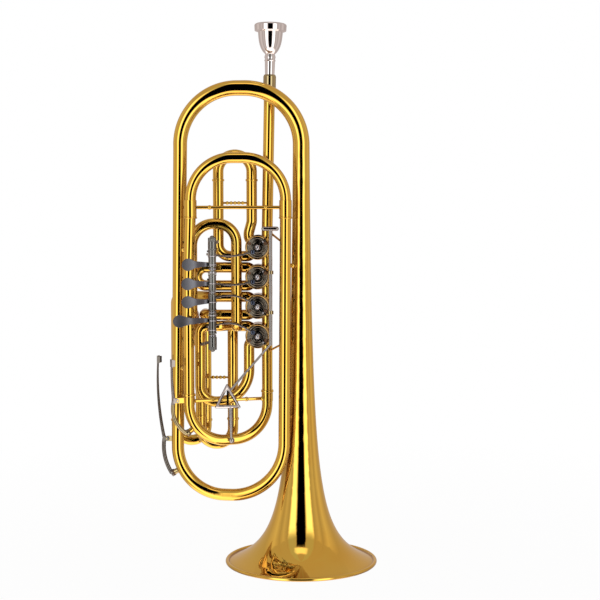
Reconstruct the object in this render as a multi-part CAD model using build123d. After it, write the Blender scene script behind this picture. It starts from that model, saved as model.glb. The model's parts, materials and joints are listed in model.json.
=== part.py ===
from build123d import *
import math
import os

# German-style rotary bass trumpet with four valves, standing on its bell.
# Origin: centre of the bell mouth. +Z runs up the bell axis to the mouthpiece, the valves lie to the -X side,
# and the player's finger levers face -Y. All lengths are millimetres.

# ---- driving dimensions: main tubing ----
BELL_RADIUS = 87.9
BELL_WALL = 0.6
BELL_TOP = 488.5
HORN_BASE = 4.5
HORN_SPREAD = 2079.0
HORN_SHIFT = 28.5
HORN_POWER = 0.96
STEM_START_Z = 300.0
STEM_START_R = 9.35
STEM_TAPER = 0.0029
BELL_LEVELS = [0, 3, 7, 13, 22, 35, 55, 85, 130, 190, 260, 330, 410]
BEAD_R = 2.2
BEAD_WALL = 0.6
BEAD_PLACE = (BELL_RADIUS - 0.2, 0.6)
RIM_REST_Z = -1.2
OUTER_TOP_X = -141.4
OUTER_LOW_X = -146.0
OUTER_TOP_R = 8.1
OUTER_LOW_R = 7.3
BELL_STEM_R = 9.9
BOTTOM_Z = 144.8
INNER_Y = -18.0
LOW_Y = -20.0
INNER_TOP_Z = 421.5
INNER_R = 6.4
LOW_R = 7.0
LEFT_TOP_X = -128.2
LEFT_X = -131.0
RIGHT_TOP_X = -18.2
RIGHT_LOW_X = -19.7
WALL = 0.6
BELL_BOW_RISE = 69.5
BELL_BOW_CORNER = 66.0
CROOK_RISE = 55.0
CROOK_CORNER = 48.5
BOTTOM_DROP = 63.9
BOTTOM_CORNER = 56.0
TRIM_GAP = 0.06
SNUG = 0.01

# ---- driving dimensions: valves ----
VALVE_Y = 17.0
VALVE_X = -51.3
VALVE_TOP_Z = 372.4
VALVE_PITCH = 34.9
ROTOR_R = 12.5
ROTOR_FIT = 0.05
CASING_R = 14.7
CASING_DEPTH = 28.0
FRONT_WALL = 3.0
PASSAGE_R = 4.7
PORT_OFFSET = 10.8
PORT_BEND = 6.6
LOOP_R = 6.3
SLIDE_FIT = 0.05
SLIDE_R = LOOP_R - WALL - SLIDE_FIT
FERRULE = 1.1
SHAFT_R = 3.0
SHAFT_TIP = 4.0
SCREW_R = 1.25
SCREW_DEPTH = 5.5
BEARING_DEPTH = 3.0
END_PLAY = 0.3
CAP_PROFILE = [(0, 0), (CASING_R, 0), (CASING_R, 3.4), (CASING_R - 2.2, 4.4), (5.5, 5.4), (0, 5.6)]
CAP_GROOVES = 24
GROOVE_R = 0.7

# ---- driving dimensions: action ----
CRANK = 7.5
CRANK_PIN_R = 1.2
LINK_Y = -6.7
LINK_R = 1.1
AXLE_X = -102.5
AXLE_Y = -30.0
AXLE_R = 2.4
HUB_R = 4.9
LEVER_ARM = 24.0
PIN_FIT = 0.05
STOP_R = 10.5

# ---- driving dimensions: slides and triggers ----
LEAD_TOP_X = -37.3
LEAD_TOP_Z = 560.0
LEAD_R = 6.6
TUNING_Z = 194.0
LEG_IN = 45.0
LEG_1 = 38.0
LEG_2 = 24.0
LEG_3 = 80.0
LEG_4 = 70.0
CREST_1_Z = 461.6
SLIDE_1_X = -98.2
SLIDE_2_X = -113.2
SLIDE_3_Z = 154.6
SLIDE_4_Z = 153.9
REAR_Y = 47.0
MIDDLE_Y = 32.0
FRONT_Y = 3.4
HIDDEN_X = -151.6
TUBE_B_X = -115.4
TUBE_A_X = -121.0
TUBE_T_X = -82.3
RETURN_X = -120.4
SMALL_LEFT_X = -128.6
SMALL_RIGHT_X = -76.3
SMALL_Z = 374.0
RETURN_Z = 226.5

VALVES = (1, 2, 3, 4)
MAIN_X = VALVE_X + PORT_OFFSET


def valve_z(number):
    """Height of a valve's axis."""
    return VALVE_TOP_Z - (number - 1) * VALVE_PITCH


def bell_radius(z):
    """Outer radius of the bell, a horn curve above the mouth and a cone near its stem."""
    horn = HORN_BASE + HORN_SPREAD / (z + HORN_SHIFT) ** HORN_POWER
    stem = STEM_START_R + (z - STEM_START_Z) * STEM_TAPER
    return max(horn, stem) if z > STEM_START_Z else horn


# ---- general shapes ----
def rod(start, end, radius):
    """A solid cylinder between two points."""
    axis = Vector(*end) - Vector(*start)
    plane = Plane(origin=Vector(*start), z_dir=axis)
    return plane * Cylinder(radius, axis.length, align=(Align.CENTER, Align.CENTER, Align.MIN))


def pipe(start, end, outer, inner):
    """A straight hollow tube between two points."""
    return rod(start, end, outer) - rod(start, end, inner)


def route(points, radii):
    """A path of straight runs with a rounded corner at each inner point."""
    corners = [Vector(*p) for p in points]
    edges = []
    last = corners[0]
    for before, corner, after, radius in zip(corners, corners[1:], corners[2:], radii):
        come = (corner - before).normalized()
        leave = (after - corner).normalized()
        turn = math.radians(come.get_angle(leave))
        back = radius * math.tan(turn / 2)
        begin = corner - come * back
        finish = corner + leave * back
        inward = (leave - come).normalized()
        middle = corner + inward * (radius / math.cos(turn / 2) - radius)
        if (begin - last).length > 0.01:
            edges.append(Line(last, begin))
        edges.append(ThreePointArc(begin, middle, finish))
        last = finish
    if (corners[-1] - last).length > 0.01:
        edges.append(Line(last, corners[-1]))
    return Wire([edge.edge() for edge in edges])


def sweep_disc(path, radius):
    """A solid round bar that follows a path."""
    return sweep(Plane(origin=path @ 0, z_dir=path % 0) * Circle(radius), path=path)


def sweep_tube(path, outer, inner):
    """A hollow tube that follows a path."""
    return sweep_disc(path, outer) - sweep_disc(path, inner)


def tapered_leg(levels, wall):
    """A tube through level circles given as (x, y, z, radius)."""
    outside = [Pos(x, y, z) * Circle(r) for x, y, z, r in levels]
    inside = [Pos(x, y, z) * Circle(r - wall) for x, y, z, r in levels]
    return loft(outside, ruled=True) - loft(inside, ruled=True)


def bow_path(left, right, depth_sign):
    """A half circle between two level points, hanging down (-1) or standing up (+1)."""
    a = Vector(*left)
    b = Vector(*right)
    middle = (a + b) * 0.5 + Vector(0, 0, depth_sign * (b - a).length / 2)
    return ThreePointArc(a, middle, b)


def square_bow(left, right, rise, left_radius, right_radius):
    """A bow with a flattened crown: two rounded corners between two level points."""
    left_top = (left[0], left[1], left[2] + rise)
    right_top = (right[0], right[1], right[2] + rise)
    return route([left, left_top, right_top, right], [left_radius, right_radius])


def tapered_bow(path, start_radius, end_radius, wall):
    """A bent tube whose radius changes along it."""
    first = Plane(origin=path @ 0, z_dir=path % 0)
    last = Plane(origin=path @ 1, z_dir=path % 1)
    outside = sweep([first * Circle(start_radius), last * Circle(end_radius)], path=path, multisection=True)
    inside = sweep(
        [first * Circle(start_radius - wall), last * Circle(end_radius - wall)], path=path, multisection=True
    )
    return outside - inside


def sleeve(x, y, low, high, inner, thickness=FERRULE):
    """A ferrule with rounded rims around an upright tube."""
    body = Cylinder(inner + thickness, high - low) - Cylinder(inner, high - low)
    body = fillet(body.edges().filter_by(GeomType.CIRCLE).group_by(SortBy.RADIUS)[-1], thickness * 0.6)
    return Pos(x, y, (low + high) / 2) * body


# ---- main tubing ----
def bell():
    """Flared bell, thin walled, with its rim rolled round a wire."""
    outside = [(bell_radius(z), z) for z in BELL_LEVELS] + [(BELL_STEM_R, BELL_TOP)]
    inside = [(r - BELL_WALL, z) for r, z in outside]
    outer_line = Spline(*outside)
    inner_line = Spline(*inside)
    top_line = Line(outside[-1], inside[-1])
    low_line = Line(inside[0], outside[0])
    wall = make_face(Wire([outer_line.edge(), top_line.edge(), inner_line.edge(), low_line.edge()]))
    hollow = Pos(*BEAD_PLACE) * Circle(BEAD_R - BEAD_WALL)
    bead = Pos(*BEAD_PLACE) * Circle(BEAD_R) - hollow
    below = Pos(BELL_RADIUS, RIM_REST_Z - BEAD_R) * Rectangle(4 * BEAD_R, 2 * BEAD_R)
    section = wall - hollow + bead - below
    return revolve(Plane.XZ * section, Axis.Z)


def bell_rim_wire():
    """Steel wire inside the rolled rim."""
    section = Plane.XZ * (Pos(*BEAD_PLACE) * Circle(BEAD_R - BEAD_WALL - TRIM_GAP))
    return revolve(section, Axis.Z)


def bell_bow():
    left = (OUTER_TOP_X, 0, BELL_TOP)
    path = square_bow(left, (0, 0, BELL_TOP), BELL_BOW_RISE, BELL_BOW_CORNER, BELL_BOW_CORNER)
    return tapered_bow(path, OUTER_TOP_R, BELL_STEM_R, WALL)


def outer_leg():
    top = (OUTER_TOP_X, 0, BELL_TOP, OUTER_TOP_R)
    low = (OUTER_LOW_X, 0, BOTTOM_Z, OUTER_LOW_R)
    return tapered_leg([low, top], WALL)


def bottom_bow():
    left = (OUTER_LOW_X, 0, BOTTOM_Z)
    right = (RIGHT_LOW_X, LOW_Y, BOTTOM_Z)
    path = square_bow(left, right, -BOTTOM_DROP, BOTTOM_CORNER, BOTTOM_DROP - 0.5)
    return tapered_bow(path, OUTER_LOW_R, LOW_R, WALL)


def right_leg():
    low = (RIGHT_LOW_X, LOW_Y, BOTTOM_Z, LOW_R)
    top = (RIGHT_TOP_X, INNER_Y, INNER_TOP_Z, INNER_R)
    return tapered_leg([low, top], WALL)


def crook_bow():
    left = (LEFT_TOP_X, INNER_Y, INNER_TOP_Z)
    right = (RIGHT_TOP_X, INNER_Y, INNER_TOP_Z)
    path = square_bow(left, right, CROOK_RISE, CROOK_CORNER, CROOK_CORNER)
    return sweep_tube(path, INNER_R, INNER_R - WALL)


LEFT_BEND_Z = 330.0
LEFT_LOW_Z = 199.0


def left_leg():
    levels = [
        (LEFT_X, INNER_Y, LEFT_LOW_Z, INNER_R),
        (LEFT_X, INNER_Y, LEFT_BEND_Z, INNER_R),
        (LEFT_TOP_X, INNER_Y, INNER_TOP_Z, INNER_R),
    ]
    return tapered_leg(levels, WALL)


def port_points(number, side, height):
    """Mouth of a valve port and the corner where its tube turns."""
    z = valve_z(number)
    mouth = ROTOR_R / math.sqrt(2)
    start = (VALVE_X + side * mouth, VALVE_Y, z + height * mouth)
    corner = (VALVE_X + side * PORT_OFFSET, VALVE_Y, z + height * PORT_OFFSET)
    return [start, corner]


def casing_cutter(number):
    """The outside of a valve casing, as a tool that trims tubes to its wall."""
    front = (VALVE_X, VALVE_Y - CASING_DEPTH / 2, valve_z(number))
    rear = (VALVE_X, VALVE_Y + CASING_DEPTH / 2, valve_z(number))
    return rod(front, rear, CASING_R)


def leadpipe():
    points = port_points(1, 1, 1) + [(LEAD_TOP_X, VALVE_Y, LEAD_TOP_Z)]
    return sweep_tube(route(points, [PORT_BEND + 0.1]), LEAD_R - 0.1, LOOP_R - WALL) - casing_cutter(1)


def lead_plane(distance):
    """Plane across the leaning leadpipe axis at a distance above its lower end."""
    low = Vector(MAIN_X, VALVE_Y, valve_z(1) + PORT_OFFSET)
    axis = (Vector(LEAD_TOP_X, VALVE_Y, LEAD_TOP_Z) - low).normalized()
    return Plane(origin=low + axis * distance, z_dir=axis, x_dir=Vector(0, -1, 0))


LEAD_LENGTH = math.hypot(LEAD_TOP_X - MAIN_X, LEAD_TOP_Z - VALVE_TOP_Z - PORT_OFFSET)
RECEIVER_LENGTH = 30.0
SHANK_DEPTH = 14.0
RECEIVER_WALL = 0.9
RECEIVER_CHAMFER = 2.0
SHANK_TOP = (LOOP_R - WALL + 0.35, 15.5)
NECK = [SHANK_TOP, (6.7, 16.5), (5.9, 18.4), (6.7, 20.5), (5.6, 24.0)]
CUP_BACK = [(5.6, 24.0), (10.2, 29.5), (13.2, 38.0), (14.6, 49.5)]
RIM_SIDE = [(14.6, 49.5), (18.6, 51.0), (19.0, 57.3)]
RIM_TOP = (16.2, 59.5)
RIM_ROUND = 3.0
CUP_BOWL = [(12.8, 57.3), (11.2, 45.0), (6.5, 34.5), (3.3, 29.0)]
BORE = [(3.3, 29.0), (3.3, 22.0), (4.6, -SHANK_DEPTH)]


def mouthpiece_receiver():
    """Sleeve at the top of the leadpipe that takes the mouthpiece shank."""
    base = LEAD_LENGTH - RECEIVER_LENGTH / 2
    step_z = RECEIVER_LENGTH / 2 + 2 * PIN_FIT
    sleeve_r = LEAD_R - PIN_FIT
    bore_r = LOOP_R - WALL + PIN_FIT
    outline = Polyline(
        (sleeve_r, 0),
        (LEAD_R + RECEIVER_WALL, RECEIVER_WALL),
        (LEAD_R + RECEIVER_WALL, RECEIVER_LENGTH - RECEIVER_CHAMFER),
        (LEAD_R, RECEIVER_LENGTH),
        (bore_r, RECEIVER_LENGTH),
        (bore_r, step_z),
        (sleeve_r, step_z),
        close=True,
    )
    return lead_plane(base) * revolve(Plane.XZ * make_face(outline), Axis.Z)


def straight_lines(points):
    """Straight edges from each point to the next."""
    return [Line(a, b) for a, b in zip(points, points[1:])]


def mouthpiece():
    """Cup mouthpiece: shank, throat, bell-shaped cup and flat rim."""
    shank = LOOP_R - WALL
    tip = (shank - 0.35, -SHANK_DEPTH)
    outer_line = [tip, (shank - 2 * PIN_FIT, 0)]
    curves = straight_lines(outer_line + NECK)
    curves.append(Spline(CUP_BACK))
    curves += straight_lines(RIM_SIDE)
    curves.append(RadiusArc(RIM_SIDE[-1], RIM_TOP, -RIM_ROUND))
    curves.append(RadiusArc(RIM_TOP, CUP_BOWL[0], -RIM_ROUND))
    curves.append(Spline(CUP_BOWL))
    curves += straight_lines(BORE + [tip])
    profile = make_face(Wire([curve.edge() for curve in curves]))
    seat = LEAD_LENGTH + RECEIVER_LENGTH / 2
    return lead_plane(seat) * revolve(Plane.XZ * profile, Axis.Z)


# ---- valve section ----
def valve_casing(number):
    """Cylindrical casing with an integral front wall and four radial ports."""
    z = valve_z(number)
    front_y = VALVE_Y - CASING_DEPTH / 2
    rear_y = VALVE_Y + CASING_DEPTH / 2
    body = casing_cutter(number)
    body += rod((VALVE_X, front_y - FRONT_WALL, z), (VALVE_X, front_y, z), CASING_R - 0.6)
    body -= rod((VALVE_X, front_y, z), (VALVE_X, rear_y, z), ROTOR_R + ROTOR_FIT)
    body -= rod((VALVE_X, front_y - FRONT_WALL, z), (VALVE_X, front_y, z), SHAFT_R + ROTOR_FIT)
    reach = CASING_R + 1
    for side in (-1, 1):
        for height in (-1, 1):
            end = (VALVE_X + side * reach, VALVE_Y, z + height * reach)
            body -= rod((VALVE_X, VALVE_Y, z), end, PASSAGE_R + 0.2)
    return body


def rotor(number):
    """Solid brass rotor with two quarter-turn passages and a shaft at each end."""
    z = valve_z(number)
    front_y = VALVE_Y - CASING_DEPTH / 2
    rear_y = VALVE_Y + CASING_DEPTH / 2
    tip_y = front_y - FRONT_WALL - SHAFT_TIP
    body = rod((VALVE_X, front_y + END_PLAY, z), (VALVE_X, rear_y - BEARING_DEPTH - END_PLAY, z), ROTOR_R)
    body += rod((VALVE_X, tip_y, z), (VALVE_X, rear_y - END_PLAY, z), SHAFT_R)
    for side in (-1, 1):
        centre = VALVE_X + side * ROTOR_R * math.sqrt(2)
        ring = Torus(ROTOR_R, PASSAGE_R)
        body -= Pos(centre, VALVE_Y, z) * Rot(90, 0, 0) * ring
    body -= rod((VALVE_X, tip_y, z), (VALVE_X, tip_y + SCREW_DEPTH + END_PLAY, z), SCREW_R + PIN_FIT)
    return body


def rear_bearing(number):
    """Plate that closes the casing behind the rotor and carries its rear shaft."""
    z = valve_z(number)
    rear_y = VALVE_Y + CASING_DEPTH / 2
    return pipe((VALVE_X, rear_y - BEARING_DEPTH, z), (VALVE_X, rear_y, z), ROTOR_R, SHAFT_R + ROTOR_FIT)


def casing_cap(number):
    """Domed screw cap over the rear bearing, with a knurled edge."""
    z = valve_z(number)
    rear_y = VALVE_Y + CASING_DEPTH / 2
    cap = revolve(Plane.XZ * make_face(Polyline(*CAP_PROFILE, close=True)), Axis.Z)
    groove = Cylinder(GROOVE_R, CAP_PROFILE[2][1] - END_PLAY, align=(Align.CENTER, Align.CENTER, Align.MIN))
    cap -= PolarLocations(CASING_R + GROOVE_R / 3, CAP_GROOVES) * groove
    return Plane(origin=(VALVE_X, rear_y, z), z_dir=(0, 1, 0)) * cap


def knuckle(number):
    """Short tube between two neighbouring valves."""
    points = port_points(number, 1, -1) + port_points(number + 1, 1, 1)[::-1]
    tube = sweep_tube(route(points, [PORT_BEND, PORT_BEND]), LOOP_R, LOOP_R - WALL)
    return tube - casing_cutter(number) - casing_cutter(number + 1)


def tuning_outer_tube():
    """Tube from the last valve down to the right leg of the tuning slide."""
    points = port_points(4, 1, -1) + [(MAIN_X, VALVE_Y, LEFT_LOW_Z)]
    return sweep_tube(route(points, [PORT_BEND]), LOOP_R, LOOP_R - WALL) - casing_cutter(4)


# ---- valve loops: fixed tubes ----
SLIDE_1_MOUTH = 453.0
SLIDE_2_MOUTH = -93.0
SLIDE_3_MOUTH = 160.0
SLIDE_4_MOUTH = 163.5
SLIDE_1_RIGHT_X = -58.6
MOUTH_GAP = 0.2
SLIDE_WALL = 0.4
COLLAR_WALL = 1.2


def valve_tube(number, side_height, turns, bends):
    """A loop tube that leaves one left-hand port of a valve."""
    points = port_points(number, -1, side_height) + turns
    tube = sweep_tube(route(points, [PORT_BEND] + bends), LOOP_R, LOOP_R - WALL)
    return tube - casing_cutter(number)


def valve_tubes_1():
    z = valve_z(1)
    port_x = VALVE_X - PORT_OFFSET
    right_turns = [
        (port_x, VALVE_Y, z + 17),
        (SLIDE_1_RIGHT_X, VALVE_Y, z + 30),
        (SLIDE_1_RIGHT_X, VALVE_Y, SLIDE_1_MOUTH),
    ]
    right = valve_tube(1, 1, right_turns, [12, 12])
    low = z - PORT_OFFSET
    left_turns = [(SLIDE_1_X, VALVE_Y, low), (SLIDE_1_X, VALVE_Y, SLIDE_1_MOUTH)]
    left = valve_tube(1, -1, left_turns, [14])
    return [left, right]


def valve_tubes_2():
    tubes = []
    for height in (1, -1):
        level = valve_z(2) + height * PORT_OFFSET
        tubes.append(valve_tube(2, height, [(SLIDE_2_MOUTH, VALVE_Y, level)], []))
    return tubes


def valve_tubes_3():
    high = valve_z(3) + PORT_OFFSET
    low = valve_z(3) - PORT_OFFSET
    upper_turns = [(-104, VALVE_Y, high), (HIDDEN_X, REAR_Y, high), (HIDDEN_X, REAR_Y, SLIDE_3_MOUTH)]
    lower_turns = [(TUBE_B_X, VALVE_Y, low), (TUBE_B_X, REAR_Y, low), (TUBE_B_X, REAR_Y, SLIDE_3_MOUTH)]
    return [valve_tube(3, 1, upper_turns, [14, 10]), valve_tube(3, -1, lower_turns, [7, 9])]


CROSS_Z = 292.5
SMALL_RISE = 26.1
SMALL_CORNERS = (25.6, 22.5)
RETURN_DROP = 38.7
RETURN_CORNERS = (18.7, 38.4)


def valve_tubes_4():
    """Long loop: over the small bow and down to the slide, back up and round the return bow."""
    high = valve_z(4) + PORT_OFFSET
    small_right_end = (SMALL_RIGHT_X, FRONT_Y, SMALL_Z)
    small_left_end = (SMALL_LEFT_X, FRONT_Y, SMALL_Z)
    small_turns = [(SMALL_RIGHT_X, VALVE_Y, high), (SMALL_RIGHT_X, FRONT_Y, high), small_right_end]
    small_right = valve_tube(4, 1, small_turns, [6.5, 6.5])
    small_arc = square_bow(small_left_end, small_right_end, SMALL_RISE, *SMALL_CORNERS)
    small_bow = sweep_tube(small_arc, LOOP_R, LOOP_R - WALL)
    down = [
        small_left_end,
        (SMALL_LEFT_X, FRONT_Y, CROSS_Z),
        (SMALL_LEFT_X, MIDDLE_Y, CROSS_Z),
        (SMALL_LEFT_X, MIDDLE_Y, CROSS_Z - 16),
        (TUBE_A_X, MIDDLE_Y, CROSS_Z - 42),
        (TUBE_A_X, MIDDLE_Y, SLIDE_4_MOUTH),
    ]
    small_left = sweep_tube(route(down, [9, 9, 14, 14]), LOOP_R, LOOP_R - WALL)
    back = [
        (TUBE_T_X, MIDDLE_Y, SLIDE_4_MOUTH),
        (TUBE_T_X, MIDDLE_Y, high),
        (-96.5, VALVE_Y, high),
        (RETURN_X, VALVE_Y, high),
        (RETURN_X, VALVE_Y, RETURN_Z),
    ]
    returning = sweep_tube(route(back, [8, 8, 9]), LOOP_R, LOOP_R - WALL)
    port_x = VALVE_X - PORT_OFFSET
    return_end = (port_x, VALVE_Y, RETURN_Z)
    return_arc = square_bow((RETURN_X, VALVE_Y, RETURN_Z), return_end, -RETURN_DROP, *RETURN_CORNERS)
    return_bow = sweep_tube(return_arc, LOOP_R, LOOP_R - WALL)
    return_up = valve_tube(4, -1, [(port_x, VALVE_Y, RETURN_Z)], [])
    return [small_right, small_bow, small_left, returning, return_bow, return_up]


# ---- slides ----
def slide(ends, path, mouth_gap, depth_sign, leg):
    """An upright slide: a bow with two inner legs that run inside the fixed tubes."""
    bow = sweep_tube(path, LOOP_R, LOOP_R - WALL)
    legs = []
    for x, y, z in ends:
        tip = z - depth_sign * mouth_gap
        legs.append(pipe((x, y, z), (x, y, tip), LOOP_R, LOOP_R - WALL - COLLAR_WALL))
        inner_end = tip - depth_sign * leg
        legs.append(pipe((x, y, tip), (x, y, inner_end), SLIDE_R, SLIDE_R - SLIDE_WALL))
    return bow + legs


def valve_slide_1():
    ends = [(SLIDE_1_X, VALVE_Y, CREST_1_Z), (SLIDE_1_RIGHT_X, VALVE_Y, CREST_1_Z)]
    return slide(ends, bow_path(*ends, 1), CREST_1_Z - SLIDE_1_MOUTH - MOUTH_GAP, 1, LEG_1)


def valve_slide_2():
    """Short slide of the second valve, drawn sideways."""
    high = (SLIDE_2_X, VALVE_Y, valve_z(2) + PORT_OFFSET)
    low = (SLIDE_2_X, VALVE_Y, valve_z(2) - PORT_OFFSET)
    crown = (SLIDE_2_X - PORT_OFFSET, VALVE_Y, valve_z(2))
    shape = sweep_tube(ThreePointArc(high, crown, low), LOOP_R, LOOP_R - WALL)
    for x, y, z in (high, low):
        mouth = SLIDE_2_MOUTH - MOUTH_GAP
        shape += pipe((x, y, z), (mouth, y, z), LOOP_R, LOOP_R - WALL - COLLAR_WALL)
        shape += pipe((mouth, y, z), (mouth + LEG_2, y, z), SLIDE_R, SLIDE_R - SLIDE_WALL)
    return shape


def valve_slide_3():
    ends = [(HIDDEN_X, REAR_Y, SLIDE_3_Z), (TUBE_B_X, REAR_Y, SLIDE_3_Z)]
    return slide(ends, bow_path(*ends, -1), SLIDE_3_MOUTH - SLIDE_3_Z - MOUTH_GAP, -1, LEG_3)


def valve_slide_4():
    ends = [(TUBE_A_X, MIDDLE_Y, SLIDE_4_Z), (TUBE_T_X, MIDDLE_Y, SLIDE_4_Z)]
    return slide(ends, bow_path(*ends, -1), SLIDE_4_MOUTH - SLIDE_4_Z - MOUTH_GAP, -1, LEG_4)


TUNING_CORNER = 45.0
TUNING_RIGHT_CORNER = 41.0
TUNING_DROP = 49.1
COLLAR_R = LOOP_R + 0.45
COLLAR_Z = 193.5
COLLAR_HEIGHT = 9.5
STAY_ENDS = (193.2, 191.8)
STAY_R = 2.0
STAY_BEADS = [(0.06, 2.9), (0.73, 2.7), (0.94, 2.9)]


def tuning_path():
    """Bow of the main tuning slide, turned between its two legs."""
    left = (LEFT_X, INNER_Y, TUNING_Z)
    return square_bow(left, (MAIN_X, VALVE_Y, TUNING_Z), -TUNING_DROP, TUNING_CORNER, TUNING_RIGHT_CORNER)


def main_tuning_slide():
    """Large slide between the valves and the inner loop, with a cross stay between its legs."""
    ends = [(LEFT_X, INNER_Y, TUNING_Z), (MAIN_X, VALVE_Y, TUNING_Z)]
    shape = slide(ends, tuning_path(), LEFT_LOW_Z - TUNING_Z - MOUTH_GAP, -1, LEG_IN)
    left_z, right_z = STAY_ENDS
    stay = beaded_rod((LEFT_X, INNER_Y, left_z), (MAIN_X, VALVE_Y, right_z), STAY_R, STAY_BEADS)
    for x, y, _ in ends:
        stay -= Pos(x, y, TUNING_Z) * Cylinder(LOOP_R - MOUTH_GAP, 20 * STAY_R)
        collar = Cylinder(COLLAR_R, COLLAR_HEIGHT) - Cylinder(LOOP_R - 0.1, COLLAR_HEIGHT)
        shape += Pos(x, y, COLLAR_Z) * collar
    return shape + stay


# ---- ferrules and braces ----
# Each sleeve: x, y, lower end, upper end, tube radius, thickness.
SLEEVES = [
    (LEFT_TOP_X - 0.27, INNER_Y, 408, 427.5, INNER_R + 0.36, 0.6),
    (LEFT_TOP_X - 0.27, INNER_Y, 406, 407.95, INNER_R + 0.36, 1.2),
    (RIGHT_TOP_X - 0.05, INNER_Y, 408, 427.5, INNER_R + 0.22, 0.6),
    (RIGHT_TOP_X - 0.05, INNER_Y, 406, 407.95, INNER_R + 0.22, 1.2),
    (LEFT_X, INNER_Y, 199.1, 202.2, INNER_R, 1.1),
    (MAIN_X, VALVE_Y, 199.1, 202.2, LOOP_R, 1.1),
    (SLIDE_1_X, VALVE_Y, 450.2, 452.8, LOOP_R, 0.9),
    (SLIDE_1_RIGHT_X, VALVE_Y, 450.2, 452.8, LOOP_R, 0.9),
    (HIDDEN_X, REAR_Y, 160.2, 162.8, LOOP_R, 0.9),
    (TUBE_B_X, REAR_Y, 160.2, 162.8, LOOP_R, 0.9),
    (TUBE_A_X, MIDDLE_Y, 167.4, 170, LOOP_R, 0.9),
    (TUBE_T_X, MIDDLE_Y, 163.8, 166.4, LOOP_R, 0.9),
]


def ferrules():
    """Sleeves at the tube joints and raised rings at the slide mouths."""
    rings = []
    for x, y, low, high, radius, thickness in SLEEVES:
        rings.append(sleeve(x, y, low, high, radius + SNUG, thickness))
    return rings


def upright(centre, radius):
    """A short upright cylinder that trims a brace to a tube's wall."""
    return Pos(*centre) * Cylinder(radius + TRIM_GAP, 60)


def along(levels, z):
    """Centre of a tapered leg at a height, between its two end levels."""
    (x0, y0, z0), (x1, y1, z1) = levels
    share = (z - z0) / (z1 - z0)
    return (x0 + (x1 - x0) * share, y0 + (y1 - y0) * share, z)


OUTER_LINE = ((OUTER_LOW_X, 0, BOTTOM_Z), (OUTER_TOP_X, 0, BELL_TOP))
RIGHT_LINE = ((RIGHT_LOW_X, LOW_Y, BOTTOM_Z), (RIGHT_TOP_X, INNER_Y, INNER_TOP_Z))
LEFT_LINE = ((LEFT_X, INNER_Y, LEFT_BEND_Z), (LEFT_TOP_X, INNER_Y, INNER_TOP_Z))


def beaded_rod(start, end, radius, beads):
    """A turned brace rod with round beads at given shares of its length."""
    axis = Vector(*end) - Vector(*start)
    curves = []
    place = 0.0
    for share, size in beads:
        half = math.sqrt(size**2 - radius**2)
        centre = share * axis.length
        curves.append(Line((radius, place), (radius, centre - half)))
        curves.append(ThreePointArc((radius, centre - half), (size, centre), (radius, centre + half)))
        place = centre + half
    curves.append(Line((radius, place), (radius, axis.length)))
    curves.append(Line((radius, axis.length), (0, axis.length)))
    curves.append(Line((0, axis.length), (0, 0)))
    curves.append(Line((0, 0), (radius, 0)))
    profile = make_face(Wire([curve.edge() for curve in curves]))
    turned = revolve(Plane.XZ * profile, Axis.Z)
    return Plane(origin=Vector(*start), z_dir=axis) * turned


LEG_BRACES = (369.6, 230.8)
BELL_BRACES = (351.4, 174.6)
LEAD_BRACES = ((393.0, 376.0), (247.0, 262.0))
CROOK_BAR_Z = 419.1
SLIDE_BAR_Z = 424.6
LOW_BAR_Z = 215.2
LEG_BRACE_R = 1.6
LEG_BRACE_BEADS = [(0.42, 3.0), (0.62, 2.8)]
BELL_BRACE_R = 1.5
BELL_BRACE_BEADS = [(0.45, 3.0)]
CROOK_BAR_R = 2.0
CROOK_BAR_BEADS = [(0.2, 2.6), (0.79, 2.6)]
SLIDE_BAR_R = 1.3
LOW_BAR_R = 1.2
LEAD_BRACE_R = 1.2
LEAD_BRACE_CORNER = (-30, 1)
TURNED_BEADS = [(0.27, 2.1), (0.385, 2.1), (0.5, 2.1), (0.615, 2.1), (0.73, 2.1)]


def level_bar(left, right, thickness, beads, radius):
    """A beaded bar between two upright tubes of one radius."""
    bar = beaded_rod(left, right, thickness, beads)
    return bar - upright(left, radius) - upright(right, radius)


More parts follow.
